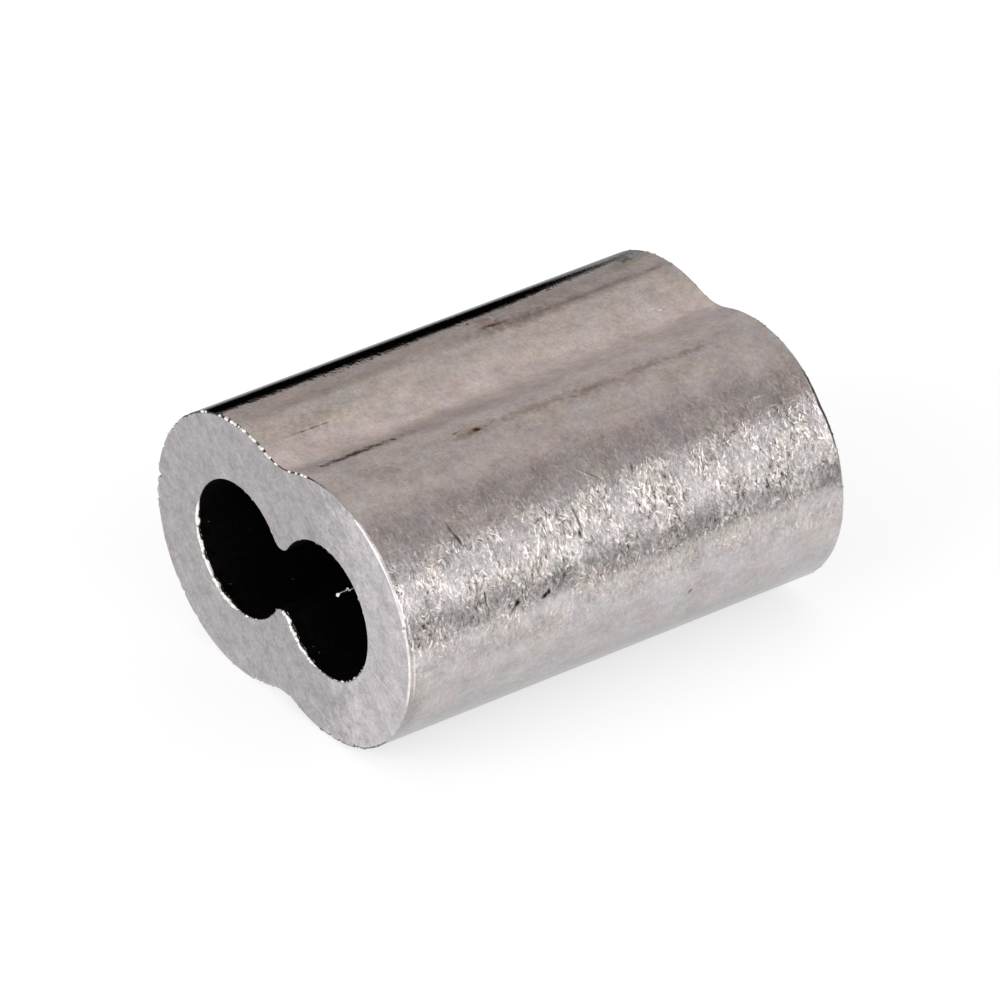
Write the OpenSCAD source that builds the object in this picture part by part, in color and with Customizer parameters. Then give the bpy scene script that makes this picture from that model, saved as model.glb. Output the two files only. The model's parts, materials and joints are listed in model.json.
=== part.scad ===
// Double-barrel ferrule for wire rope: one length of extruded aluminium with two parallel rope
// holes that open into each other. A rope runs through one hole, turns round to make an eye and
// comes back through the other, and the sleeve is then pressed on to both legs.
//
// Frame: the origin is the middle of the sleeve, halfway between the two rope holes.
// X runs across the two holes, Y runs along the rope and Z is up when the sleeve lies flat.

/* [Rope holes] */
// Diameter of each rope hole, about a tenth over the rope
hole_d = 4.4; // [3.6:0.1:5.2]
// Distance between the centres of the two holes
hole_pitch = 4.3; // [4.0:0.05:4.6]
// Radius of the rounded ridges left between the two holes
ridge_r = 0.4; // [0.25:0.05:0.8]

/* [Body] */
// Length of the sleeve along the rope
body_l = 16; // [10:0.5:24]
// Wall thickness round each hole
wall = 2.1; // [1.4:0.1:3.0]
// Radius of the shallow groove between the two barrels
groove_r = 2; // [1:0.1:4]

/* [Cut ends] */
// Width of the broken edge round the outside of each end
outer_break = 0.1; // [0.05:0.01:0.25]
// Width of the broken edge round the mouth of each hole
mouth_break = 0.08; // [0.05:0.01:0.2]

/* [Hidden] */
// Facets round each curve when the part is drawn as a mesh
$fn = 96;
half_pitch = hole_pitch / 2;
hole_r = hole_d / 2;
barrel_r = hole_r + wall;
// How far the holes' solid runs past each end of the sleeve
through = 1;

// Height of a blend's centre line, for a blend that touches both lobes from outside
function blend_z(lobe_r, blend_r) = sqrt(pow(lobe_r + blend_r, 2) - pow(half_pitch, 2));

// A round bar along Y that changes from radius r to radius end_r over the last part of each end,
// and carries on at end_r for extra beyond
module bar(r, end_r, extra) {
    half = body_l / 2;
    taper = abs(r - end_r);
    rotate([90, 0, 0])
        rotate_extrude()
            polygon([
                [0, -half - extra],
                if (extra > 0) [end_r, -half - extra],
                [end_r, -half],
                [r, -half + taper],
                [r, half - taper],
                [end_r, half],
                if (extra > 0) [end_r, half + extra],
                [0, half + extra]
            ]);
}

// A prism along Y whose corners are on the centre lines of the two lobes and the two blends
module diamond(z, length) {
    rotate([90, 0, 0])
        linear_extrude(length, center = true)
            polygon([[half_pitch, 0], [0, z], [-half_pitch, 0], [0, -z]]);
}

// Two parallel bars joined by hollow blends into one figure-of-eight bar. A lobe and a blend
// touch on the line between their centres, which is a side of the diamond. The lobes fill the
// outside of the diamond and the waist its inside, so that they meet on flat faces. The lobes'
// radius changes by flare at the ends and the blends' by as much the other way, which keeps
// them touching.
module double_bar(lobe_r, blend_r, flare, extra = 0) {
    length = body_l + 2 * extra;
    z = blend_z(lobe_r, blend_r);
    // The blends' height is set in a coarse and a fine step, to place them to a nanometre
    coarse = floor(z * 1000) / 1000;
    difference() {
        union()
            for (side = [-1, 1])
                translate([side * half_pitch, 0, 0]) bar(lobe_r, lobe_r + flare, extra);
        diamond(z, length + 2);
    }
    difference() {
        diamond(z, length);
        for (side = [-1, 1])
            translate([0, 0, side * coarse])
                translate([0, 0, side * (z - coarse)])
                    bar(blend_r, blend_r - flare, extra + through);
    }
}

module ferrule_sleeve() {
    color("silver")
        difference() {
            double_bar(barrel_r, groove_r, -outer_break);
            double_bar(hole_r, ridge_r, mouth_break, through);
        }
}

ferrule_sleeve();
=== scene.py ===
"""The finished look of the wire rope ferrule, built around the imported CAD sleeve.

Lengths here are in millimetres until a point goes into a mesh, a light or the camera.
X runs across the two rope holes, Y along them with the near cut end at -Y, and Z is up.
A place round the sleeve is given by its side, "right" or "left" lobe, and the angle in
degrees of the surface's normal there, from +X anticlockwise seen from the near end.
"""

import json
import math

import bpy
import numpy as np
from mathutils import Matrix, Vector


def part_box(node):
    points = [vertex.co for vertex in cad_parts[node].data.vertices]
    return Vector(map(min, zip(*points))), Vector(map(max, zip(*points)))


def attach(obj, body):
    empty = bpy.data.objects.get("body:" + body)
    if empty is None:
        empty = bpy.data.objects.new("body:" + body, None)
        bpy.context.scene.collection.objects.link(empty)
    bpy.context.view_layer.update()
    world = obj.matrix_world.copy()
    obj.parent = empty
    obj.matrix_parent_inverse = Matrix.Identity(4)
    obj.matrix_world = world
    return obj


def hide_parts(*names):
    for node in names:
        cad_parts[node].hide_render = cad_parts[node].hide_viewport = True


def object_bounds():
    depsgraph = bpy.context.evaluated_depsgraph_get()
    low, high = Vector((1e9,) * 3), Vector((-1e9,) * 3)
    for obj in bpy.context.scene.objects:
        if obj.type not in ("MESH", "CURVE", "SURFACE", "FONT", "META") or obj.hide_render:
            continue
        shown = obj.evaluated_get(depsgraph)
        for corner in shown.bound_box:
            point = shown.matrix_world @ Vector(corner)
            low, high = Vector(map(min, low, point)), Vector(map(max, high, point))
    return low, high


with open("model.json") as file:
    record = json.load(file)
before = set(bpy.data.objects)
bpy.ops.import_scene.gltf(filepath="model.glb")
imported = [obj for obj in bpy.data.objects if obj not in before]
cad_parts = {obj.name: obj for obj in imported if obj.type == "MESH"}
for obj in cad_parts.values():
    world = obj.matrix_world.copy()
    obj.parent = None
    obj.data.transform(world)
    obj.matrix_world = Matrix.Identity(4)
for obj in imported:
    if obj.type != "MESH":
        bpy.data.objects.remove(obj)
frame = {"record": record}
CAD_LOW, CAD_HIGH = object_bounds()

MM = 0.001
NODE = "ferrule_sleeve"
SEED = 4

# The sleeve's driving sizes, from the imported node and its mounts
node_low, node_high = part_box(NODE)
SLEEVE_SIZE = (node_high - node_low) / MM
MOUNTS = {mount["name"]: mount for mount in frame["record"]["mounts"]}
HOLE_R = MOUNTS["rope_hole_right"]["dims"]["r_mm"]
BARREL_R = SLEEVE_SIZE.z / 2
HALF_PITCH = SLEEVE_SIZE.x / 2 - BARREL_R
HALF_LENGTH = SLEEVE_SIZE.y / 2
# The blends' radii: in the grooves outside, and on the ridges between the holes
GROOVE_R = 2.0
RIDGE_R = 0.4


# ---------------------------------------------------------------- outline of the extrusion

def arc(centre, radius, start, end, count, hollow=False):
    """Points on an arc and the normals out of the metal there, leaving out the end point."""
    angles = np.radians(np.linspace(start, end, count, endpoint=False))
    ray = np.stack([np.cos(angles), np.sin(angles)], axis=1)
    return np.array(centre) + radius * ray, -ray if hollow else ray


class Outline:
    """Two round lobes joined by hollow blends, from the middle of the lower blend anticlockwise.

    points and normals are in the XZ plane, and round_mm is the distance from the start.
    """
    LOBE_STEPS = 400
    BLEND_STEPS = 24

    def __init__(self, lobe_r, blend_r):
        blend_z = math.sqrt((lobe_r + blend_r) ** 2 - HALF_PITCH ** 2)
        touch = math.degrees(math.atan2(blend_z, HALF_PITCH))
        below, above = (0, -blend_z), (0, blend_z)
        right, left = (HALF_PITCH, 0), (-HALF_PITCH, 0)
        few, many = self.BLEND_STEPS, self.LOBE_STEPS
        pieces = [
            arc(below, blend_r, 90, touch, few, hollow=True),
            arc(right, lobe_r, touch - 180, 180 - touch, many),
            arc(above, blend_r, -touch, touch - 180, 2 * few, hollow=True),
            arc(left, lobe_r, touch, 360 - touch, many),
            arc(below, blend_r, 180 - touch, 90, few, hollow=True),
        ]
        self.points = np.concatenate([points for points, _ in pieces])
        self.normals = np.concatenate([normals for _, normals in pieces])
        steps = np.linalg.norm(np.roll(self.points, -1, axis=0) - self.points, axis=1)
        self.round_mm = np.concatenate([[0], np.cumsum(steps)])
        self.lobe_r = lobe_r
        self.touch = touch
        self.before_lobe = blend_r * math.radians(90 - touch)

    def at(self, side, angle):
        """Distance round the outline to a place on the right or left lobe."""
        lobe = self.lobe_r * math.radians(1)
        if side == "right":
            return self.before_lobe + lobe * (angle - (self.touch - 180))
        lobe_length = lobe * (360 - 2 * self.touch)
        return 3 * self.before_lobe + lobe_length + lobe * (angle - self.touch)


OUTER = Outline(BARREL_R, GROOVE_R)
INNER = Outline(HOLE_R, RIDGE_R)
COLUMNS = len(OUTER.points)
ROUND_MM = OUTER.round_mm[-1]


# ---------------------------------------------------------------- the worn and burred edges

def smooth_noise(rng, width):
    """Periodic noise from -1 to 1 round the outline, smoothed over width columns."""
    reach = int(3 * width)
    kernel = np.exp(-0.5 * (np.arange(-reach, reach + 1) / width) ** 2)
    raw = rng.normal(size=COLUMNS)
    wrapped = np.concatenate([raw[-reach:], raw, raw[:reach]])
    noise = np.convolve(wrapped, kernel, mode="valid")
    return noise / np.abs(noise).max()


def stretch(outline, side, start, end, fade=1.0):
    """1 between two normal angles on a lobe and 0 outside, fading over fade mm at both ends."""
    where = outline.round_mm[:-1]
    low, high = outline.at(side, start), outline.at(side, end)
    rise = np.clip((where - low) / fade + 0.5, 0, 1)
    fall = np.clip((high - where) / fade + 0.5, 0, 1)
    return rise * fall


def beads(rng, outline, chance, height, width):
    """Small round burr beads scattered along an edge; chance is beads per mm at each column."""
    where = outline.round_mm[:-1]
    total = np.zeros(COLUMNS)
    step = outline.round_mm[-1] / COLUMNS
    for column in np.nonzero(rng.random(COLUMNS) < chance * step)[0]:
        reach = width * rng.uniform(0.6, 1.3)
        shape = np.exp(-((where - where[column]) / reach) ** 2)
        total = np.maximum(total, height * rng.uniform(0.4, 1.0) * shape)
    return total


def make_ring(outline, out, y, proud=0.0):
    """A ring round the outline, moved out along its normals: X, Y, Z and proud for every column.

    proud is how much of a burr the ring is there, from 0 to 1, which the materials read.
    """
    points = outline.points + outline.normals * np.broadcast_to(out, COLUMNS)[:, None]
    y, proud = (np.broadcast_to(part, COLUMNS) for part in (y, proud))
    return np.stack([points[:, 0], y, points[:, 1], proud], axis=1)


class Edge:
    """The rounded corner between an end face and a wall, with its burrs, for every column.

    radius is the corner's radius, bead the height of its beads, ridge the height of the thin
    burr along the corner's border with the face, fold that of a second one on the wall, nick
    how deep the corner is knocked in, and flat how much it is a chamfer, from 0 to 1.
    """
    STEPS = 9
    # Where the second burr stands behind the corner, how wide it is, and the rings that carry it
    FOLD_BACK = 0.12
    FOLD_WIDTH = 0.025
    SHOULDER = [0.17, 0.145, 0.12, 0.095, 0.07, 0.04]
    SHOULDER_END = 0.20
    # Where between wall and face the first burr stands, and how wide it is, in parts of the turn
    RIDGE_TURN, RIDGE_WIDTH = 0.7, 0.22
    # A bead this high counts as wholly proud
    FULL_BEAD = 0.08
    # How far beyond the corner the face is flat
    BORDER = 0.05

    def __init__(self, outline, radius, bead, ridge, fold=0.0, nick=0.0, flat=0.0,
                 into_hole=False):
        self.outline, self.radius, self.bead = outline, radius, bead
        self.ridge, self.fold, self.nick, self.flat = ridge, fold, nick, flat
        self.sign = -1 if into_hole else 1

    def ring(self, turn, end):
        """The ring at turn 0 on the wall to 1 on the face, at the end on side -1 or 1 of Y."""
        angle = turn * math.pi / 2
        bulge = math.sin(math.pi * turn)
        on_face = math.exp(-((turn - self.RIDGE_TURN) / self.RIDGE_WIDTH) ** 2)
        swell = self.bead * bulge + self.ridge * on_face
        inwards = math.cos(angle) - 1 + (1 - math.cos(angle) - turn) * self.flat
        back = math.sin(angle) - 1 + (turn - math.sin(angle)) * self.flat
        out = self.radius * inwards + swell * math.cos(angle) - self.nick
        ahead = self.radius * back + swell * math.sin(angle)
        proud = np.clip(self.bead / self.FULL_BEAD, 0, 1) * bulge
        return make_ring(self.outline, self.sign * out, end * (HALF_LENGTH + ahead), proud)

    def border(self, end):
        """The flat ring on the face just beyond the corner, which keeps a bead's shading short."""
        out = -self.radius - self.nick - self.BORDER
        return make_ring(self.outline, self.sign * out, end * HALF_LENGTH)

    def shoulder(self, end):
        """The rings on the wall just behind the corner, which carry the second burr."""
        for back in self.SHOULDER:
            out = self.fold * math.exp(-((back - self.FOLD_BACK) / self.FOLD_WIDTH) ** 2)
            out = out - self.nick * (1 - back / self.SHOULDER_END)
            y = end * (HALF_LENGTH - self.radius - back)
            yield make_ring(self.outline, self.sign * out, y)


def make_edges():
    """The four edges of the sleeve: near and far, round the outside and round the rope holes."""
    rng = np.random.default_rng(SEED)

    def uneven(base, spread, width=30):
        """A size that wanders by up to the given share of itself, over width columns."""
        return base * (1 + spread * smooth_noise(rng, width))

    def dab(outline, side, angle, height, width):
        """One bead or nick at a normal angle."""
        away = outline.round_mm[:-1] - outline.at(side, angle)
        return height * np.exp(-(away / width) ** 2)

    everywhere = np.ones(COLUMNS)
    # Torn along the top, in clusters
    burred = np.maximum(stretch(OUTER, "right", 88, 130), stretch(OUTER, "left", 40, 118))
    clustered = np.clip(0.7 + 1.4 * smooth_noise(rng, 8), 0.15, 1.6)
    # Rolled over along the right: a chamfer, fatter at both ends, that runs out into a thin lip
    # with a second fold behind it
    thick = stretch(OUTER, "right", 18, 68, 0.3)
    fat = np.maximum(stretch(OUTER, "right", 42, 68, 0.4), stretch(OUTER, "right", 18, 28, 0.4))
    thin = stretch(OUTER, "right", -30, 26, 1.2)
    folded = stretch(OUTER, "right", -10, 18, 0.8)
    under = stretch(OUTER, "right", -100, -45)
    near_outer = Edge(
        OUTER,
        radius=uneven(0.025, 0.4) + (0.045 * thick + 0.025 * fat) * uneven(1, 0.3, 5)
        + 0.02 * thin * (1 - thick) + 0.03 * burred * clustered + 0.04 * under,
        bead=np.maximum.reduce([
            beads(rng, OUTER, 0.6 + 5 * burred * clustered, 0.14, 0.06)
            * (0.25 + 0.75 * burred),
            dab(OUTER, "right", 67, 0.05, 0.10),
            dab(OUTER, "right", 18.5, 0.11, 0.07),
            dab(OUTER, "right", 15.8, 0.08, 0.05),
        ]),
        ridge=(0.008 * thick + 0.015 * thin) * uneven(1, 0.6, 4),
        fold=0.022 * folded * uneven(1, 0.6, 8),
        nick=np.maximum.reduce([
            beads(rng, OUTER, 1.2 * stretch(OUTER, "left", 125, 286), 0.10, 0.05),
            beads(rng, OUTER, 1.2 * stretch(OUTER, "right", -165, -50), 0.10, 0.05),
            dab(OUTER, "left", 172, 0.20, 0.08),
            dab(OUTER, "left", 279, 0.20, 0.05),
            dab(OUTER, "left", 281, 0.14, 0.03),
            dab(OUTER, "left", 283.5, 0.18, 0.05),
        ]),
        flat=0.6 * thick)
    bruised = stretch(OUTER, "right", 26, 56, 1.2)
    far_outer = Edge(
        OUTER,
        radius=uneven(0.045, 0.4) + 0.07 * bruised + dab(OUTER, "right", 42, 0.05, 0.3),
        bead=beads(rng, OUTER, 1.5 * everywhere, 0.03, 0.05),
        ridge=0.01 * uneven(1, 0.6, 12))
    # The mouths' lips are turned over low on the left, and frayed low on the right
    lips = np.maximum.reduce([
        stretch(INNER, "left", 165, 264, 0.5),
        0.5 * stretch(INNER, "left", 260, 282, 0.3),
        stretch(INNER, "right", -158, -104, 0.3),
        0.3 * stretch(INNER, "right", -104, -60),
    ])
    frayed = np.maximum(
        stretch(INNER, "right", -106, -25, 0.4), 0.6 * stretch(INNER, "left", 262, 330, 0.4))
    near_mouth = Edge(
        INNER,
        radius=uneven(0.015, 0.5) + 0.08 * lips * uneven(1, 0.6, 3),
        bead=np.maximum.reduce([
            beads(rng, INNER, 4.5 * lips, 0.13, 0.085),
            beads(rng, INNER, 9 * frayed, 0.07, 0.028),
            beads(rng, INNER, 1.2 * everywhere, 0.035, 0.06),
        ]),
        ridge=0.012 * lips * uneven(1, 0.5, 10),
        into_hole=True)
    far_mouth = Edge(
        INNER,
        radius=uneven(0.03, 0.3),
        bead=beads(rng, INNER, 2 * everywhere, 0.03, 0.05),
        ridge=0.01 * uneven(1, 0.5, 10),
        into_hole=True)
    return near_outer, far_outer, near_mouth, far_mouth


# ---------------------------------------------------------------- the sleeve's mesh

SIDE, FACE, EDGE, LIP, BORE = range(5)
# The face's rings keep this far from its outlines, and the walls' rings this far from its ends
FACE_CLEAR = 0.36
WALL_CLEAR = 0.15
FACE_RINGS, WALL_RINGS = 5, 10


def wall_rings(outline, first, last):
    """Rings along a straight wall, closer together towards both ends."""
    for turn in np.linspace(0, 1, WALL_RINGS + 2)[1:-1]:
        y = first + (last - first) * (0.5 - 0.5 * math.cos(math.pi * turn))
        yield make_ring(outline, 0.0, y)


def face_rings(mouth, outer, end):
    """Rings across an end face from the mouth outwards, clear of the nicks and beads of both."""
    inner_ring = make_ring(INNER, FACE_CLEAR, end * HALF_LENGTH)
    outer_ring = make_ring(OUTER, -FACE_CLEAR, end * HALF_LENGTH)
    turns = np.linspace(0, 1, FACE_RINGS)
    across = [inner_ring * (1 - turn) + outer_ring * turn for turn in turns]
    return [mouth.border(end), *across, outer.border(end)]


def sleeve_rings():
    """Every ring of the sleeve in order, each with the material of the band that follows it."""
    near_outer, far_outer, near_mouth, far_mouth = make_edges()
    turns = np.linspace(0, 1, Edge.STEPS)
    near_in = [near_mouth.ring(turn, -1) for turn in turns]
    near_out = [near_outer.ring(turn, -1) for turn in turns[::-1]]
    near_face = face_rings(near_mouth, near_outer, -1)
    shoulder = list(near_outer.shoulder(-1))[::-1]
    far_out = [far_outer.ring(turn, 1) for turn in turns]
    far_in = [far_mouth.ring(turn, 1) for turn in turns[::-1]]
    far_face = face_rings(far_mouth, far_outer, 1)[::-1]
    inset = HALF_LENGTH - WALL_CLEAR
    bands = [
        (LIP, near_in[:-1]),
        (FACE, [near_in[-1], *near_face]),
        (EDGE, near_out[:-1]),
        (SIDE, [near_out[-1], *shoulder, *wall_rings(OUTER, -inset, inset)]),
        (EDGE, far_out[:-1]),
        (FACE, [far_out[-1], *far_face]),
        (LIP, far_in[:-1]),
        (BORE, [far_in[-1], *wall_rings(INNER, inset, -inset)]),
    ]
    return [(slot, ring) for slot, rings in bands for ring in rings]


def round_of(slot):
    """Distance round the outline that a band's ring follows, for its texture coordinates."""
    return INNER.round_mm if slot in (LIP, BORE) else OUTER.round_mm


def make_sleeve(materials):
    """The sleeve as one closed skin of quads, with a material for each band of rings."""
    rings = sleeve_rings()
    count = len(rings)
    rows = np.concatenate([ring for _, ring in rings])
    points = rows[:, :3] * MM
    row = np.arange(count)[:, None]
    column = np.arange(COLUMNS)[None, :]
    next_row, next_column = (row + 1) % count, (column + 1) % COLUMNS
    corners = [(row, column), (row, next_column), (next_row, next_column), (next_row, column)]
    quads = np.stack([r * COLUMNS + c for r, c in corners], axis=-1).reshape(-1, 4)

    mesh = bpy.data.meshes.new(NODE + "_finished")
    mesh.from_pydata(points.tolist(), [], quads.tolist())
    for material in materials:
        mesh.materials.append(material)
    slots = np.repeat([slot for slot, _ in rings], COLUMNS)
    mesh.polygons.foreach_set("material_index", slots.astype(np.int32))
    mesh.polygons.foreach_set("use_smooth", np.ones(len(quads), bool))

    proud = mesh.attributes.new("Proud", "FLOAT", "POINT")
    proud.data.foreach_set("value", rows[:, 3].astype(np.float32))

    # One texture layer unrolls the walls in millimetres: distance round, then place along Y
    unrolled = np.zeros((count, COLUMNS, 4, 2))
    for index, (slot, ring) in enumerate(rings):
        after = rings[(index + 1) % count][1]
        rounds = round_of(slot)
        unrolled[index, :, 0, 0] = unrolled[index, :, 3, 0] = rounds[:-1]
        unrolled[index, :, 1, 0] = unrolled[index, :, 2, 0] = rounds[1:]
        unrolled[index, :, 0, 1] = ring[:, 1]
        unrolled[index, :, 1, 1] = np.roll(ring[:, 1], -1)
        unrolled[index, :, 2, 1] = np.roll(after[:, 1], -1)
        unrolled[index, :, 3, 1] = after[:, 1]
    layer = mesh.uv_layers.new(name="Unrolled")
    layer.data.foreach_set("uv", unrolled.astype(np.float32).ravel())
    mesh.update()
    mesh.validate()

    sleeve = bpy.data.objects.new(NODE + "_finished", mesh)
    bpy.context.scene.collection.objects.link(sleeve)
    return sleeve


def make_sliver(material):
    """The curl of swarf that hangs from the right mouth's rim, with a bead at its end."""
    # Along it: X, height Z, and how far it stands in front of the cut face, then its radius
    course = np.array([
        (3.72, 1.57, -0.06, 0.008),
        (3.62, 1.50, 0.00, 0.008),
        (3.55, 1.42, 0.03, 0.020),
        (3.52, 1.40, 0.03, 0.035),
        (3.47, 1.44, 0.04, 0.052),
        (3.42, 1.39, 0.04, 0.045),
        (3.36, 1.32, 0.04, 0.022),
        (3.30, 1.27, 0.04, 0.013),
        (3.20, 1.20, 0.04, 0.012),
        (3.11, 1.13, 0.05, 0.014),
        (3.05, 1.06, 0.06, 0.030),
        (3.01, 1.02, 0.06, 0.058),
        (2.97, 0.98, 0.06, 0.068),
        (2.94, 0.94, 0.06, 0.055),
        (2.92, 0.91, 0.06, 0.012),
    ])
    sides, steps = 10, 40
    thickness = 0.6  # for a width of 1
    turns = np.linspace(0, len(course) - 1, steps)
    x, z, ahead, radius = (np.interp(turns, range(len(course)), part) for part in course.T)
    centres = np.stack([x, -HALF_LENGTH - ahead, z], axis=1)
    heading = np.gradient(centres, axis=0)
    heading /= np.linalg.norm(heading, axis=1)[:, None]
    wide = np.cross(heading, (0, 1, 0))
    wide /= np.linalg.norm(wide, axis=1)[:, None]
    deep = thickness * np.cross(heading, wide)
    angles = np.linspace(0, 2 * math.pi, sides, endpoint=False)[None, :, None]
    spokes = np.cos(angles) * wide[:, None] + np.sin(angles) * deep[:, None]
    rings = centres[:, None] + radius[:, None, None] * spokes
    quads = []
    for step in range(steps - 1):
        for side in range(sides):
            after = (side + 1) % sides
            quads.append([step * sides + side, step * sides + after,
                          (step + 1) * sides + after, (step + 1) * sides + side])
    ends = [list(range(sides))[::-1], [(steps - 1) * sides + side for side in range(sides)]]
    mesh = bpy.data.meshes.new("swarf_sliver")
    mesh.from_pydata((rings.reshape(-1, 3) * MM).tolist(), [], quads + ends)
    mesh.materials.append(material)
    mesh.polygons.foreach_set("use_smooth", np.ones(len(mesh.polygons), bool))
    mesh.update()
    sliver = bpy.data.objects.new("swarf_sliver", mesh)
    bpy.context.scene.collection.objects.link(sliver)
    return sliver


# ---------------------------------------------------------------- materials

class Value:
    """A node's output used in arithmetic, where each operation adds a Math node."""

    def __init__(self, shader, socket):
        self.shader, self.socket = shader, socket

    def __add__(self, other):
        return self.shader.math("ADD", self, other)

    def __sub__(self, other):
        return self.shader.math("SUBTRACT", self, other)

    def __rsub__(self, other):
        return self.shader.math("SUBTRACT", other, self)

    def __mul__(self, other):
        return self.shader.math("MULTIPLY", self, other)

    def __abs__(self):
        return self.shader.math("ABSOLUTE", self)

    __radd__, __rmul__ = __add__, __mul__


class Shader:
    """Adds nodes to a tree one call at a time.

    An input is a plain number or tuple, a node's output, or a Value.
    """

    def __init__(self, tree):
        self.tree = tree

    def link(self, source, socket):
        self.tree.links.new(source.socket if isinstance(source, Value) else source, socket)

    def add(self, kind, inputs=None, **settings):
        node = self.tree.nodes.new(kind)
        for name, value in settings.items():
            setattr(node, name, value)
        for name, value in (inputs or {}).items():
            if isinstance(value, (Value, bpy.types.NodeSocket)):
                self.link(value, node.inputs[name])
            else:
                node.inputs[name].default_value = value
        return node

    def math(self, operation, *inputs):
        node = self.add("ShaderNodeMath", dict(enumerate(inputs)), operation=operation)
        return Value(self, node.outputs[0])

    def highest(self, first, *others):
        for other in others:
            first = self.math("MAXIMUM", first, other)
        return first

    def fade(self, value, low, high, to_low=0.0, to_high=1.0):
        """Smooth change from to_low to to_high as value goes from low to high."""
        inputs = {"Value": value, "From Min": low, "From Max": high}
        inputs.update({"To Min": to_low, "To Max": to_high})
        node = self.add("ShaderNodeMapRange", inputs, interpolation_type="SMOOTHSTEP")
        return Value(self, node.outputs["Result"])

    def band(self, value, low, high, soft):
        """1 from low to high, fading to 0 over soft on each side."""
        rise = self.fade(value, low - soft / 2, low + soft / 2)
        fall = self.fade(value, high - soft / 2, high + soft / 2, 1.0, 0.0)
        return rise * fall

    def between(self, around, start, end, soft, outline=OUTER):
        """A band round an outline; start and end are each a lobe's side and a normal angle."""
        return self.band(around, outline.at(*start), outline.at(*end), soft)

    def colour(self, factor, a, b, mode="MIX"):
        """Mixes two colours as the Mix node does in that mode."""
        inputs = {0: factor, 6: a, 7: b}
        node = self.add("ShaderNodeMix", inputs, data_type="RGBA", blend_type=mode)
        return node.outputs[2]

    def shaded(self, colour, light):
        """A colour made lighter or darker by a value."""
        grey = self.add("ShaderNodeCombineXYZ", {0: light, 1: light, 2: light}).outputs[0]
        return self.colour(1.0, colour, grey, "MULTIPLY")

    def tinted(self, colour, mask, tint):
        """A colour multiplied by a tint where the mask is 1."""
        return self.colour(mask, colour, self.colour(1.0, colour, (*tint, 1), "MULTIPLY"))

    def parts(self, vector):
        """The three numbers of a vector or colour."""
        outputs = self.add("ShaderNodeSeparateXYZ", {0: vector}).outputs
        return [Value(self, output) for output in outputs]

    def vector(self, operation, *inputs):
        node = self.add("ShaderNodeVectorMath", dict(enumerate(inputs)), operation=operation)
        return node.outputs["Value" if operation == "LENGTH" else "Vector"]

    def turned(self, vector, angle):
        """The vector turned about Z by an angle in radians."""
        inputs = {"Vector": vector, "Angle": angle}
        return self.add("ShaderNodeVectorRotate", inputs, rotation_type="Z_AXIS").outputs[0]

    def noise(self, vector, per_mm, detail=2.0, squeeze=(1, 1, 1), lean=0.0, crisp=0.5):
        """Noise from about -1 to 1; squeeze scales the axes, so that a small part makes a streak.

        lean turns it about Z in degrees, and crisp is how strong its finer octaves are.
        """
        if lean:
            vector = self.turned(vector, math.radians(lean))
        squeezed = self.vector("MULTIPLY", vector, squeeze)
        inputs = {"Vector": squeezed, "Scale": per_mm, "Detail": detail, "Roughness": crisp}
        value = self.add("ShaderNodeTexNoise", inputs).outputs[0]
        return self.math("MULTIPLY_ADD", value, 2.0, -1.0)

    def warped(self, vector, per_mm, reach):
        """The coordinates pushed about by up to reach, so that straight patterns become wavy."""
        inputs = {"Vector": vector, "Scale": per_mm, "Detail": 2.0}
        noise = self.add("ShaderNodeTexNoise", inputs).outputs["Color"]
        push = self.vector("MULTIPLY_ADD", noise, (2 * reach, 2 * reach, 0), (-reach, -reach, 0))
        return self.vector("ADD", vector, push)

    def strokes(self, vector, cell, length, width, lean, spread, share, shift):
        """Short straight scratches in a plane of millimetres, at most one in each cell.

        They lean from the X axis by lean degrees, give or take spread, share is how many cells
        have one, and shift moves the whole pattern. Returns how deep in a scratch a point is,
        which of its walls it is on from -1 to 1, and a random number for each.
        """
        vector = self.vector("ADD", vector, (shift, 0.37 * shift, 0))
        inputs = {"Vector": vector, "Scale": 1 / cell}
        cells = self.add("ShaderNodeTexVoronoi", inputs, voronoi_dimensions="2D").outputs
        red, green, blue = self.parts(cells["Color"])
        angle = red * math.radians(2 * spread) + math.radians(lean - spread)
        away = self.vector("SUBTRACT", vector, cells["Position"])
        along, across, _ = self.parts(self.turned(away, angle))
        thin = self.fade(abs(across), 0.1 * width, 0.5 * width, 1.0, 0.0)
        ends = self.fade(abs(along), 0.3 * length, 0.5 * length, 1.0, 0.0)
        mask = thin * ends * self.math("LESS_THAN", green, share)
        return mask, mask * across * (2.0 / width), blue

    def mark(self, vector, wobble, at, size, lean=0.0, ragged=0.3):
        """A soft patch, from 1 in its middle to 0 outside, turned by lean degrees.

        size is its extent in X and Y before the turn, and wobble the noise that makes its
        outline ragged.
        """
        away = self.vector("ADD", vector, (-at[0], -at[1], 0))
        scale = (2 / size[0], 2 / size[1], 0)
        scaled = self.vector("MULTIPLY", self.turned(away, math.radians(lean)), scale)
        reach = wobble * ragged + self.vector("LENGTH", scaled)
        return self.fade(reach, 0.2, 1.0, 1.0, 0.0)

    def relief(self, surface, height_um):
        """Drives the surface's normal from a height in micrometres."""
        bump = self.add("ShaderNodeBump", {"Height": height_um, "Distance": 0.001 * MM})
        self.link(bump.outputs[0], surface.inputs["Normal"])


def metal(name, base, roughness):
    """A metallic material, the shader helper that edits it, and its Principled node."""
    material = bpy.data.materials.new(name)
    material.use_nodes = True
    shader = Shader(material.node_tree)
    surface = material.node_tree.nodes["Principled BSDF"]
    surface.inputs["Metallic"].default_value = 1.0
    surface.inputs["Base Color"].default_value = (*base, 1)
    surface.inputs["Roughness"].default_value = roughness
    return material, shader, surface


def unrolled_mm(shader):
    """X is the distance round the sleeve and Y the place along it."""
    return shader.add("ShaderNodeUVMap", uv_map="Unrolled").outputs[0]


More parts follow.
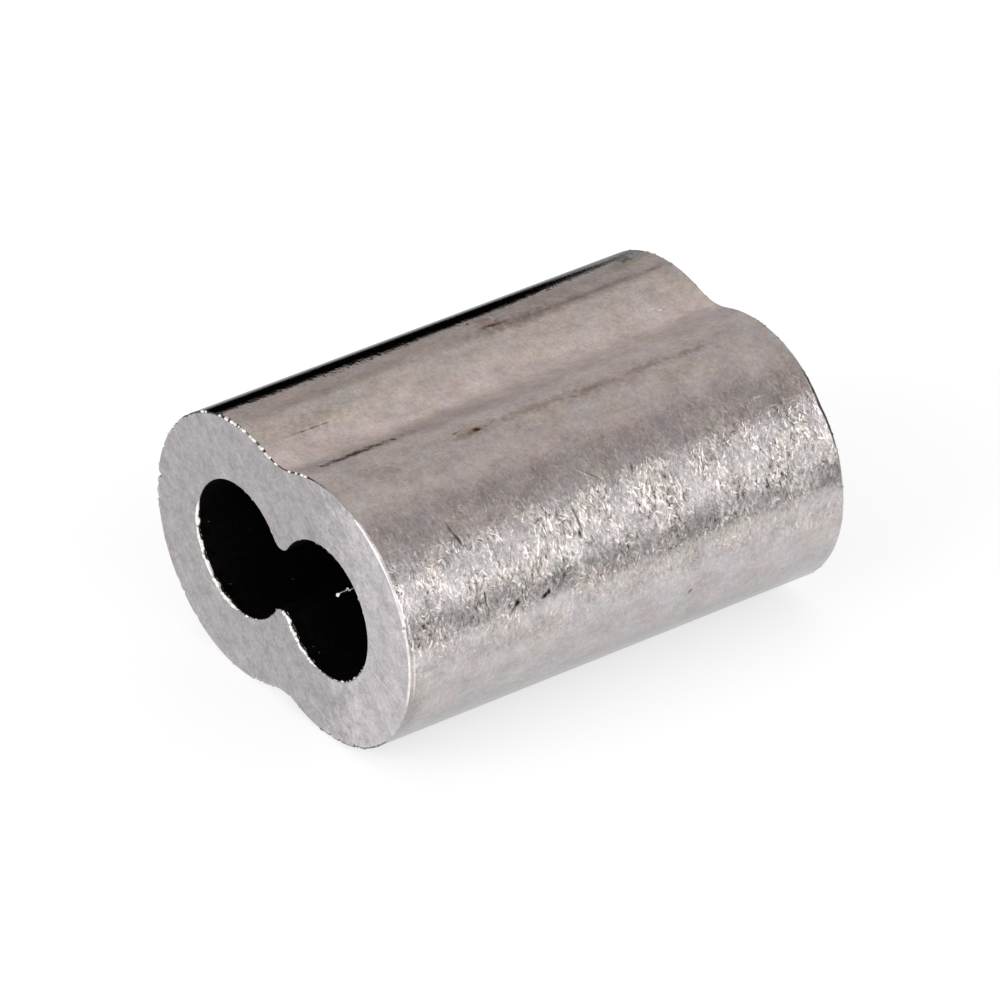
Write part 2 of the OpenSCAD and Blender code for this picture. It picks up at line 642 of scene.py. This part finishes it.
def place_mm(shader):
    """The point in the sleeve's own frame."""
    place = shader.add("ShaderNodeTexCoord").outputs["Object"]
    return shader.vector("MULTIPLY", place, (1 / MM, 1 / MM, 1 / MM))


def proud_of_burr(shader):
    """How much of a burr the surface is, from 0 to 1."""
    node = shader.add("ShaderNodeAttribute", attribute_name="Proud")
    return Value(shader, node.outputs["Fac"])


def tone_round(shader, around, stops):
    """A colour that changes round the sleeve through stops of (side, normal angle, colour)."""
    ramp = shader.add("ShaderNodeValToRGB", {"Fac": around * (1 / ROUND_MM)})
    elements = ramp.color_ramp.elements
    for index, (side, angle, colour) in enumerate(stops):
        position = OUTER.at(side, angle) / ROUND_MM
        element = elements[index] if index < 2 else elements.new(position)
        element.position = position
        element.color = (*colour, 1)
    return ramp.outputs[0]


def scuffs(shader, place):
    """Dense handling scratches, mostly across the sleeve: above 0 is bright, below 0 is dark."""
    tone = 0.0
    for per_mm, stretched, lean in ((9.0, 0.20, 6), (8.0, 0.22, -24), (10.0, 0.35, 36)):
        noise = shader.noise(place, per_mm, 2.0, (stretched, 1, 1), lean, 0.6)
        bright = shader.fade(noise, 0.02, 0.24)
        dark = shader.fade(noise, -0.24, -0.02, 1.0, 0.0)
        tone = bright - dark + tone
    return tone


def single_scratches(shader, place):
    """Longer separate scratches: how deep they are, and how they lighten or darken the metal, with
    a painted highlight on one wall of each and painted shade on the other.
    """
    depth, tone = 0.0, 0.0
    layers = [  # cell, length, width, lean, spread, share
        (0.45, 0.45, 0.090, -4, 35, 0.55),
        (0.85, 0.95, 0.085, -16, 28, 0.35),
        (0.30, 0.24, 0.080, 12, 55, 0.8),
        (0.22, 0.15, 0.070, -20, 80, 0.8),
    ]
    for index, layer in enumerate(layers):
        mask, wall, chance = shader.strokes(place, *layer, shift=7.3 * index + 3)
        depth = shader.highest(mask, depth)
        # Each scratch's own tone, plus a painted highlight on one wall and painted shade on the
        # other
        tone = mask * (chance * 1.6 - 0.45) + wall + tone
    return depth, tone


# The colour round the sleeve: side, normal angle, linear colour. It holds the drawn skin's own tone
# with its brownish top, painted shade underneath, and a painted dark reflection along the left
# crest
SKIN_AND_SHADE_TONES = [
    # Darker underneath, as painted shade
    ("right", -100, (0.245, 0.24, 0.24)),
    ("right", -44, (0.262, 0.252, 0.254)),
    ("right", -36, (0.377, 0.363, 0.366)),
    ("right", -28, (0.444, 0.427, 0.429)),
    ("right", -17, (0.485, 0.462, 0.464)),
    ("right", 4, (0.51, 0.485, 0.48)),
    ("right", 11, (0.445, 0.42, 0.41)),
    ("right", 16, (0.54, 0.52, 0.51)),
    ("right", 24, (0.53, 0.505, 0.50)),
    ("right", 38, (0.53, 0.50, 0.495)),
    ("right", 45, (0.60, 0.56, 0.55)),
    ("right", 51, (0.67, 0.605, 0.59)),
    ("right", 58, (0.62, 0.55, 0.54)),
    ("right", 66, (0.63, 0.555, 0.535)),
    ("right", 74, (0.575, 0.52, 0.50)),
    ("right", 100, (0.55, 0.50, 0.49)),
    ("right", 106, (0.60, 0.55, 0.54)),
    ("left", 56, (0.63, 0.56, 0.54)),
    ("left", 60, (0.76, 0.665, 0.64)),
    ("left", 72, (0.70, 0.615, 0.58)),
    ("left", 84, (0.60, 0.545, 0.51)),
    ("left", 92, (0.48, 0.43, 0.41)),
    ("left", 101, (0.44, 0.385, 0.37)),
    # Darker along the left crest, as a painted dark reflection
    ("left", 108, (0.34, 0.31, 0.31)),
    ("left", 119, (0.17, 0.165, 0.165)),
    ("left", 127, (0.27, 0.26, 0.26)),
    ("left", 140, (0.48, 0.46, 0.46)),
]

# Single marks on the skin: side, normal angle, place along Y, length, width, lean, tint, ragged
STAINS = [
    # The dark smudge by the groove, and the faint line that runs on from it
    ("right", 104.7, -6.1, 3.0, 0.34, 0, (0.42, 0.39, 0.38), 1.6),
    ("right", 104.7, -6.05, 0.95, 0.22, 0, (0.03, 0.02, 0.02), 0.9),
    ("right", 104.8, -6.62, 0.24, 0.22, 0, (0.05, 0.04, 0.04), 0.6),
    ("right", 105.0, -7.15, 0.46, 0.20, 0, (0.12, 0.10, 0.10), 1.2),
    ("right", 104.6, -5.25, 0.40, 0.22, 0, (0.08, 0.07, 0.07), 1.0),
    ("right", 104.5, -4.65, 0.30, 0.18, 0, (0.25, 0.22, 0.22), 1.0),
    ("right", 104.7, -5.6, 4.4, 0.55, 1, (0.74, 0.70, 0.70), 1.0),
    ("right", 103.5, 0.0, 18.0, 0.45, 0, (0.93, 0.91, 0.92), 0.5),
    # The brown spot on the right barrel, its smear, and the dotted streak behind it
    ("right", 88.2, -2.70, 2.2, 0.60, 10, (0.80, 0.71, 0.60), 0.8),
    ("right", 88.0, -2.55, 0.85, 0.36, 8, (0.66, 0.47, 0.29), 0.6),
    ("right", 88.0, -2.52, 0.34, 0.26, 0, (0.12, 0.07, 0.04), 0.4),
    ("right", 90.8, -3.15, 0.6, 0.14, 12, (0.45, 0.33, 0.24), 0.8),
    ("right", 87.3, 2.0, 11.0, 0.75, 0, (0.88, 0.84, 0.82), 0.6),
    ("right", 88.5, -0.4, 3.4, 0.50, 0, (0.80, 0.75, 0.71), 1.2),
    ("right", 86.8, 1.5, 2.2, 0.36, 0, (0.78, 0.72, 0.67), 1.2),
    ("right", 87.5, 3.6, 1.8, 0.40, 2, (0.78, 0.73, 0.69), 1.2),
    ("right", 86.5, 5.3, 1.8, 0.36, 0, (0.80, 0.75, 0.71), 1.2),
    ("right", 84.5, -6.2, 2.2, 0.9, 0, (0.84, 0.81, 0.78), 1.2),
    # Yellowish patches
    ("right", 78, 4.4, 3.0, 1.2, 5, (1.01, 1.00, 0.93), 0.8),
    ("right", 81, -0.2, 2.2, 1.1, 0, (1.00, 0.98, 0.92), 0.8),
    ("left", 101, 6.8, 1.8, 0.8, 0, (0.85, 0.84, 0.66), 0.8),
    # The brown spot on the left barrel, its dark line, and the dull band it lies in
    ("left", 92.6, 1.50, 1.5, 0.36, -6, (0.72, 0.60, 0.50), 0.8),
    ("left", 92.6, 1.42, 0.80, 0.22, -8, (0.36, 0.22, 0.13), 0.8),
    ("left", 91.5, 1.9, 3.4, 0.8, 0, (0.82, 0.77, 0.76), 0.9),
    ("left", 89.7, 5.4, 9.0, 0.34, 0, (0.74, 0.70, 0.71), 0.4),
    ("left", 89.5, 3.6, 12.0, 1.0, 0, (0.88, 0.86, 0.86), 0.6),
    ("left", 90.5, -4.6, 8.5, 0.55, 0, (0.88, 0.85, 0.82), 0.8),
    ("left", 98, 1.4, 1.2, 1.0, 30, (0.74, 0.68, 0.66), 1.0),
    ("left", 99.5, 3.6, 8.0, 1.0, 0, (0.80, 0.78, 0.78), 0.8),
    ("left", 89.0, 2.6, 5.0, 0.7, 0, (0.80, 0.78, 0.78), 0.7),
    ("left", 105.6, 7.1, 0.75, 0.50, 0, (0.06, 0.04, 0.02), 0.9),
    ("left", 67, 6.35, 0.16, 0.14, 20, (1.6, 1.6, 1.6), 0.4),
    ("left", 69, 6.15, 0.12, 0.10, 0, (1.5, 1.5, 1.5), 0.4),
    # Fine hairs and dirt near the near end of the left barrel
    ("left", 73.5, -6.1, 2.3, 0.09, -1, (0.45, 0.42, 0.40), 0.9),
    ("left", 77, -5.9, 3.4, 1.1, 0, (0.86, 0.84, 0.80), 1.4),
    # A duller patch and a rubbed one at the far end of the flank
    ("right", 46, 5.0, 5.0, 1.6, 0, (0.92, 0.91, 0.92), 0.6),
    ("right", 16, 5.6, 8.0, 1.1, 0, (1.32, 1.32, 1.34), 0.9),
    # Painted shade just behind the near edge, low on the right and at the top left
    ("right", -26, -7.8, 1.1, 4.2, 0, (0.76, 0.76, 0.76), 0.3),
    ("left", 121, -7.8, 0.8, 1.0, 0, (0.55, 0.55, 0.55), 0.3),
    # Bright nicks at the far end of the flank
    ("right", 54, 6.05, 0.42, 0.13, 0, (1.6, 1.6, 1.6), 0.3),
    ("right", 48.5, 6.4, 0.34, 0.13, -10, (1.6, 1.6, 1.6), 0.3),
    ("right", 46.5, 6.15, 0.26, 0.13, 0, (1.6, 1.6, 1.6), 0.3),
    ("right", 41.5, 6.4, 0.26, 0.13, -20, (1.5, 1.5, 1.5), 0.3),
    # Black pits on the flank
    ("right", 12.0, -4.02, 0.30, 0.30, 0, (0.04, 0.04, 0.04), 0.5),
    ("right", 10.7, -3.04, 0.42, 0.22, 30, (0.03, 0.03, 0.03), 0.5),
    ("right", 11.6, -2.90, 0.22, 0.24, 0, (0.05, 0.05, 0.05), 0.5),
    ("right", -15, 2.35, 0.26, 0.20, 40, (0.40, 0.40, 0.40), 0.4),
    # Long single scratches, dark and bright
    ("right", 49, -5.44, 0.12, 0.75, 6, (0.35, 0.34, 0.35), 0.3),
    ("right", 44.5, -5.34, 0.13, 0.80, 14, (0.18, 0.17, 0.18), 0.3),
    ("right", 35, -1.35, 0.13, 1.25, 4, (0.30, 0.29, 0.29), 0.3),
    ("right", 29, -1.42, 0.18, 0.40, 0, (0.12, 0.12, 0.12), 0.4),
    ("right", 46, 1.05, 0.12, 0.60, -14, (0.35, 0.34, 0.35), 0.4),
    ("right", 50, -0.45, 0.15, 1.10, 48, (1.50, 1.50, 1.48), 0.4),
    ("right", 49, -0.33, 0.12, 1.00, 46, (0.45, 0.44, 0.44), 0.4),
    ("right", 31, 1.00, 0.18, 1.20, 30, (1.45, 1.45, 1.45), 0.4),
    ("right", 32, 0.55, 0.16, 1.00, 26, (1.40, 1.40, 1.40), 0.4),
]


def side_material():
    """Drawn aluminium: cloudy, with soft lengthwise streaks, a brownish top and a scuffed flank,
    with painted shade underneath and behind the near edge, a painted dark reflection along the left
    crest, a painted highlight on the fold low on the right, and painted light and shade on the
    scratches' walls.
    """
    material, shader, surface = metal("drawn_skin", (0.56, 0.54, 0.54), 0.2)
    place = unrolled_mm(shader)
    around, along, _ = shader.parts(place)
    base = tone_round(shader, around, SKIN_AND_SHADE_TONES)

    # How worn each place is: a patchy band that climbs slowly along the right flank, its mirror
    # image on the left, and lightly underneath
    right = shader.between(around - along * 0.02, ("right", 8), ("right", 47), 0.9)
    edge_right = shader.between(around, ("right", -6), ("right", 62), 1.2)
    left = shader.between(around, ("left", 128), ("left", 175), 1.2)
    belly = shader.between(around, ("left", 190), ("left", 280), 3.0)
    patchy = shader.fade(shader.noise(place, 0.9, 3.0, crisp=0.7), -0.3, 0.3, 0.35, 1.05)
    worn = patchy * shader.highest(right, left, edge_right * 0.30, belly * 0.4)

    clouds = shader.noise(place, 1.2, 6.0, (1, 0.8, 1), crisp=0.9)
    clusters = shader.noise(place, 1.3, 3.0, (0.8, 1, 1), crisp=0.7)
    streaks = shader.noise(place, 2.2, 3.0, (1, 0.06, 1))
    grain = shader.noise(place, 9.0, 3.0, (0.7, 1, 1), crisp=0.9)
    wavy = shader.warped(place, 1.6, 0.12)
    scuffed = scuffs(shader, wavy)
    depth, scratched = single_scratches(shader, wavy)
    broken = worn * shader.fade(shader.noise(place, 6.0, 2.0), -0.25, 0.15, 0.45, 1.0)
    cloudy = shader.fade(around, OUTER.at("right", -20), OUTER.at("right", 20), 0.6, 0.8)
    light = (clouds * cloudy + streaks * 0.12 + clusters * worn * 0.7 + grain * (worn * 1.3 + 0.35)
             + scuffed * worn * 0.20 + scratched * broken * 1.6 + 1.0)

    # A black line with a torn lower edge runs along the left barrel's crest: a painted dark
    # reflection
    teeth = shader.noise(place, 4.6, 2.0, (0.6, 1, 1), crisp=0.7)
    groups = shader.fade(shader.noise(place, 1.4, 2.0), -0.25, 0.25, 0.4, 1.5)
    torn = teeth * groups + streaks * 0.3
    low_edge = shader.highest(along, -1.0) * 0.035 + OUTER.at("left", 104.6)
    black = shader.fade(torn * 0.8 + around - low_edge, -0.05, 0.05)
    black *= shader.fade(around, OUTER.at("left", 114), OUTER.at("left", 119), 1.0, 0.0)
    light *= black * shader.fade(along, 3.0, 7.0, -0.88, -0.75) + 1.0

    # The fold behind the near edge, low on the right, gets a painted highlight
    folded = shader.between(around, ("right", -12), ("right", 20), 0.8)
    folded *= shader.band(along, -7.84, -7.78, 0.05)
    base = shader.shaded(base, shader.highest(light + folded * 0.55, 0.10))
    for per_mm, tint in ((0.9, (1.01, 0.985, 0.94)), (1.3, (1.01, 0.975, 0.995))):
        amount = shader.fade(shader.noise(place, per_mm, 2.0, crisp=0.4), -0.25, 0.25)
        base = shader.tinted(base, amount, tint)
    wobble = shader.noise(place, 5.0, 3.0)
    for side, angle, y, length, width, lean, tint, ragged in STAINS:
        at = OUTER.at(side, angle), y
        stain = shader.mark(place, wobble, at, (width, length), lean, ragged)
        base = shader.tinted(base, stain, tint)
    shader.link(base, surface.inputs["Base Color"])

    # Duller in the groove, apart from the smudge, and glossier on the left crest's near part
    groove = shader.band(around, OUTER.at("right", 99), OUTER.at("left", 64), 0.5)
    smudge = shader.mark(place, wobble, (OUTER.at("right", 105), -6.0), (1.4, 3.0), ragged=1.2)
    crest = shader.between(around, ("left", 99), ("left", 122), 0.3)
    roughness = (worn * 0.13 + clouds * 0.08 + groove * (1.0 - smudge) * 0.2
                 + crest * shader.fade(along, 3.0, 7.0, -0.08, 0.0) + 0.18)
    shader.link(roughness, surface.inputs["Roughness"])

    dents = shader.noise(place, 2.6, 3.0, crisp=0.6)
    die_lines = shader.noise(place, 7.0, 3.0, (1, 0.02, 1))
    tears = torn * shader.between(around, ("left", 98), ("left", 108), 0.3)
    height = (dents * (6.0 - crest * 4.5) + die_lines * 0.5 + tears * 6.0 + grain
              + scuffed * worn * 1.2 - depth * broken * 3.0)
    shader.relief(surface, height)
    return material


def face_material():
    """Sawn aluminium: fine straight marks, a mottled tone, and painted light that makes it lighter
    to the right.
    """
    colour = (0.40, 0.376, 0.386)
    saw_lean = 38
    material, shader, surface = metal("sawn_end", colour, 0.42)
    x, _, z = shader.parts(place_mm(shader))
    place = shader.add("ShaderNodeCombineXYZ", {0: x, 1: z}).outputs[0]
    fine = shader.noise(place, 12.0, 3.0, (0.05, 1, 1), saw_lean, 0.8)
    steep = shader.noise(place, 9.0, 3.0, (0.08, 1, 1), saw_lean + 24, 0.8)
    coarse = shader.noise(place, 3.0, 3.0, (0.15, 1, 1), saw_lean)
    clouds = shader.noise(place, 1.5, 6.0, crisp=0.95)
    grain = shader.noise(place, 8.0, 3.0, crisp=0.9)
    light = fine * 0.22 + steep * 0.20 + coarse * 0.15 + clouds + grain * 0.35 + 1.0
    for index, lean in enumerate((saw_lean, saw_lean + 30)):
        mask, _, chance = shader.strokes(place, 1.5, 1.7, 0.05, 90 - lean, 8, 0.5, 5.1 * index + 2)
        light += mask * (chance * 0.5 - 0.15)
    # Painted light: lighter towards the right, with a cloudy border
    light *= shader.fade(clouds * 3.0 + x, 2.0, 4.2, 1.0, 1.31)
    light *= shader.fade(z, -4.2, -0.5, 1.08, 1.0)
    shader.link(shader.shaded((*colour, 1), light), surface.inputs["Base Color"])
    shader.link(fine * 0.15 + clouds * 0.25 + 0.40, surface.inputs["Roughness"])
    shader.relief(surface, fine * 1.6 + coarse * 2.0 + clouds * 1.5)
    return material


def edge_material():
    """The broken outer edge: bright where the burr is rolled over, speckled where it is torn, with
    painted highlights on the beads and painted shadow between them.
    """
    material, shader, surface = metal("rubbed_edge", (0.75, 0.74, 0.74), 0.3)
    place = unrolled_mm(shader)
    around, along, _ = shader.parts(place)
    near = shader.math("LESS_THAN", along, 0.0)
    rolled = near * shader.between(around, ("right", -16), ("right", 67), 0.8)
    chamfer = near * shader.between(around, ("right", 18), ("right", 68), 0.3)
    under = near * shader.between(around, ("right", -105), ("right", -45), 0.8)
    torn = near * shader.band(around, OUTER.at("right", 88), OUTER.at("left", 132), 0.8)
    far_dark = (1.0 - near) * shader.between(around, ("right", 25), ("right", 58), 0.8)
    speckle = shader.noise(place, 3.6, 3.0, (1, 0.6, 1), crisp=0.8)
    patches = shader.noise(place, 1.6, 2.0) * 0.5
    # Painted highlight on the torn edge's beads, and painted shadow in the gaps between them
    bead_light_and_gap_shade = shader.fade(proud_of_burr(shader), 0.1, 0.5, -0.42, 0.45)
    light = (speckle * 0.40 + rolled * 0.36 - chamfer * 0.06 - under * 0.30
             + torn * (patches + bead_light_and_gap_shade) - far_dark * 0.42 + 0.50)
    base = shader.shaded((1.0, 0.955, 0.945, 1), shader.highest(light, 0.03))
    shader.link(base, surface.inputs["Base Color"])
    roughness = speckle * 0.12 + rolled * 0.2 - chamfer * 0.12 + 0.28
    shader.link(roughness, surface.inputs["Roughness"])
    shader.relief(surface, speckle * 3.0)
    return material


def lip_material():
    """The mouths' edges: a painted highlight on the lip low on the left of each hole and on its
    beads, and dull elsewhere.
    """
    material, shader, surface = metal("mouth_lip", (0.85, 0.84, 0.8), 0.25)
    place = unrolled_mm(shader)
    around, _, _ = shader.parts(place)
    left = shader.between(around, ("left", 163), ("left", 264), 0.5, INNER)
    right = shader.between(around, ("right", -160), ("right", -102), 0.3, INNER)
    lit = shader.highest(left, right, shader.fade(proud_of_burr(shader), 0.25, 0.7))
    speckle = shader.noise(place, 6.0, 3.0, crisp=0.8)
    base = shader.shaded((1.0, 0.98, 0.92, 1), lit * 0.70 + speckle * 0.5 + 0.26)
    shader.link(base, surface.inputs["Base Color"])
    shader.relief(surface, speckle * 4.0)
    return material


def swarf_material():
    """Freshly torn aluminium, bright and uneven, and brightest on the bead at its end."""
    material, shader, surface = metal("torn_swarf", (0.85, 0.84, 0.82), 0.25)
    place = place_mm(shader)
    x, _, _ = shader.parts(place)
    speckle = shader.noise(place, 8.0, 3.0, crisp=0.8)
    light = shader.fade(x, 3.04, 3.10, 0.95, 0.35) + speckle * 0.6
    shader.link(shader.shaded((1.0, 0.98, 0.96, 1), light), surface.inputs["Base Color"])
    shader.relief(surface, speckle * 5.0)
    return material


def bore_material():
    """The holes' walls: dull and dark, with a few bright specks."""
    material, shader, surface = metal("dark_bore", (0.02, 0.02, 0.02), 0.6)
    place = unrolled_mm(shader)
    specks, _, _ = shader.strokes(place, 0.9, 0.10, 0.05, 90, 60, 0.15, 11.0)
    faint = shader.fade(shader.noise(place, 5.0, 3.0, crisp=0.8), 0.0, 0.5, 0.8, 1.8)
    base = shader.shaded((0.018, 0.014, 0.014, 1), faint)
    base = shader.colour(specks, base, (0.30, 0.28, 0.28, 1))
    shader.link(base, surface.inputs["Base Color"])
    return material


# ---------------------------------------------------------------- stage, light and camera

FLOOR_Z = CAD_LOW.z
FLOOR_HALF_M = 1.5


def stage_piece(name, points, faces, grey, roughness, specular, glow, glow_colour=(1, 1, 1)):
    """A flat piece of the stage in one plain grey, which may glow."""
    mesh = bpy.data.meshes.new(name)
    mesh.from_pydata(points, [], faces)
    material = bpy.data.materials.new(name)
    material.use_nodes = True
    surface = material.node_tree.nodes["Principled BSDF"].inputs
    surface["Base Color"].default_value = (grey, grey, grey, 1)
    surface["Roughness"].default_value = roughness
    surface["Specular IOR Level"].default_value = specular
    surface["Emission Color"].default_value = (*glow_colour, 1)
    surface["Emission Strength"].default_value = glow
    mesh.materials.append(material)
    piece = bpy.data.objects.new(name, mesh)
    bpy.context.scene.collection.objects.link(piece)
    return piece


def make_floor():
    """A pale floor that glows a little, so that it is nearly white all over."""
    corners = [(x * FLOOR_HALF_M, y * FLOOR_HALF_M, FLOOR_Z)
               for x, y in ((-1, -1), (1, -1), (1, 1), (-1, 1))]
    floor = stage_piece("floor", corners, [(0, 1, 2, 3)], grey=0.52, roughness=0.9,
                        specular=0.1, glow=0.645, glow_colour=(0.985, 0.99, 1))


# What the sleeve reflects of the tent, by the direction's X: brightness, and how warm it is
TENT = [
    (-0.63, 0.6, 0.01),
    (-0.2, 0.62, 0.01),
    (0.1, 0.44, 0.0),
    (0.42, 0.41, 0.0),
    (0.62, 0.66, 0.0),
    (0.8, 1.16, 0.0),
]
TENT_LEFT, TENT_RIGHT = (0.60, 0.56, 0.54, 1), (0.9, 0.88, 0.87, 1)


def make_world():
    """A pale backdrop for the camera; in reflections, a light tent that varies round the sleeve."""
    world = bpy.data.worlds.new("tent")
    bpy.context.scene.world = world
    world.use_nodes = True
    world.node_tree.nodes.clear()
    shader = Shader(world.node_tree)
    x, _, _ = shader.parts(shader.add("ShaderNodeTexCoord").outputs["Generated"])
    ramp = shader.add("ShaderNodeValToRGB", {"Fac": x * 0.5 + 0.5})
    stops = ramp.color_ramp.elements
    stops[0].position, stops[0].color = 0.0, TENT_LEFT
    stops[1].position, stops[1].color = 1.0, TENT_RIGHT
    for toward, value, warm in TENT:
        stop = stops.new(toward * 0.5 + 0.5)
        stop.color = (value * (1 + warm), value, value * (1 - warm), 1)
    tent = shader.add("ShaderNodeBackground", {"Color": ramp.outputs[0], "Strength": 1.0})
    backdrop = shader.add("ShaderNodeBackground", {"Color": (1, 1, 1, 1), "Strength": 1.0})
    seen = shader.add("ShaderNodeLightPath").outputs["Is Camera Ray"]
    both = shader.add("ShaderNodeMixShader", {0: seen, 1: tent.outputs[0], 2: backdrop.outputs[0]})
    shader.add("ShaderNodeOutputWorld", {"Surface": both.outputs[0]})


def aim(thing, eye, target, roll=0.0):
    """Puts a light or camera at eye, looking at target."""
    look = (Vector(target) - Vector(eye)).to_track_quat("-Z", "Y").to_matrix().to_4x4()
    thing.matrix_world = Matrix.Translation(eye) @ look @ Matrix.Rotation(roll, 4, "Z")


def direction(azimuth, elevation):
    """Unit vector towards an azimuth, from -Y round towards +X, and an elevation, in degrees."""
    a, e = math.radians(azimuth), math.radians(elevation)
    return Vector((math.sin(a) * math.cos(e), -math.cos(a) * math.cos(e), math.sin(e)))


def make_flag(name, azimuth, distance, sides, glow=0.0):
    """A dark or grey card that shows only in reflections, to put dark edges on bright metal.

    It faces the sleeve. sides lists where it is cut, as (place across, height of its lower edge
    above the floor, height of its upper edge) in millimetres, and glow is its own brightness.
    """
    centre = direction(azimuth, 0) * distance * MM
    across = Vector((-centre.y, centre.x, 0)).normalized() * MM
    corners = []
    for place, low, high in sides:
        foot = centre + across * place
        corners += [(foot.x, foot.y, FLOOR_Z + low * MM), (foot.x, foot.y, FLOOR_Z + high * MM)]
    strips = [(2 * i, 2 * i + 1, 2 * i + 3, 2 * i + 2) for i in range(len(sides) - 1)]
    flag = stage_piece(name, corners, strips, grey=0.0, roughness=1.0, specular=0.0, glow=glow)
    flag.visible_camera = False
    flag.visible_diffuse = False
    flag.visible_shadow = False


def make_softbox(name, azimuth, elevation, distance, size, radiance):
    """A square white area light of the given side and radiance, facing the sleeve."""
    data = bpy.data.lights.new(name, "AREA")
    data.size = size * MM
    data.energy = radiance * math.pi * (size * MM) ** 2
    light = bpy.data.objects.new(name, data)
    bpy.context.scene.collection.objects.link(light)
    aim(light, direction(azimuth, elevation) * distance * MM, (0, 0, 0))


CAMERA_AZIMUTH, CAMERA_ELEVATION, CAMERA_ROLL = 54.0, 31.35, -0.47
CAMERA_DISTANCE = 290.7
# The sleeve's middle stands this far right of and above the middle of the view
MIDDLE_RIGHT, MIDDLE_UP = 0.008, 0.14
LENS_MM, SENSOR_MM = 349.8, 36.0
CLIP_START_M, CLIP_END_M = 0.01, 20


def make_camera():
    """A long lens above and to the right of the near end."""
    data = bpy.data.cameras.new("camera")
    data.sensor_width = SENSOR_MM
    data.lens = LENS_MM
    data.clip_start = CLIP_START_M
    data.clip_end = CLIP_END_M
    camera = bpy.data.objects.new("camera", data)
    bpy.context.scene.collection.objects.link(camera)
    back = direction(CAMERA_AZIMUTH, CAMERA_ELEVATION)
    aim(camera, back * CAMERA_DISTANCE * MM, (0, 0, 0), math.radians(CAMERA_ROLL))
    turn = camera.matrix_world.to_3x3()
    shift = turn @ Vector((-MIDDLE_RIGHT * MM, -MIDDLE_UP * MM, 0))
    camera.matrix_world = Matrix.Translation(shift) @ camera.matrix_world
    bpy.context.scene.camera = camera


# ---------------------------------------------------------------- the scene

make_camera()
materials = [side_material(), face_material(), edge_material(), lip_material(), bore_material()]
sleeve = make_sleeve(materials)
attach(sleeve, "root")
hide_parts(NODE)
sliver = make_sliver(swarf_material())
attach(sliver, "root")

make_floor()
make_world()
# The black flag darkens the left barrel's crest, and the grey cards its outline below that
make_flag("flag_left", 240, 30, [
    (-5, 5.0, 7.2),
    (-4, 3.4, 8.6),
    (-2.6, 2.4, 9.2),
    (-1.3, 1.7, 12.0),
    (2.6, 0.5, 13.0),
    (6, 0, 12.8),
    (30, 0, 13.2),
])
make_flag("card_left_low", 240, 14, [
    (-12, 0, 5.9),
    (-5, 0, 5.9),
    (1.75, 0, 4.6),
    (8.7, 0, 3.2),
    (14, 0, 2.6),
], 0.56)
make_flag("card_left_high", 240, 14.2, [
    (-12, 5.9, 6.8),
    (-5, 5.9, 6.6),
    (1.75, 4.6, 5.6),
    (8.7, 3.2, 4.7),
    (14, 2.6, 4.2),
], 0.29)
make_flag("flag_left_far", 240, 30, [(-30, 0, 13), (-5, 0, 13)], 0.45)
make_flag("flag_right", 122, 28, [(-30, 0, 6.5), (30, 0, 6.5)], 0.4)
make_softbox("softbox_front", 4, 24, 300, 220, 2.2)
make_softbox("softbox_right", 95, 20, 300, 90, 4.0)
make_softbox("softbox_rear", 150, 25, 300, 90, 3.0)

scene = bpy.context.scene
scene.view_settings.view_transform = "Standard"
scene.view_settings.look = "None"
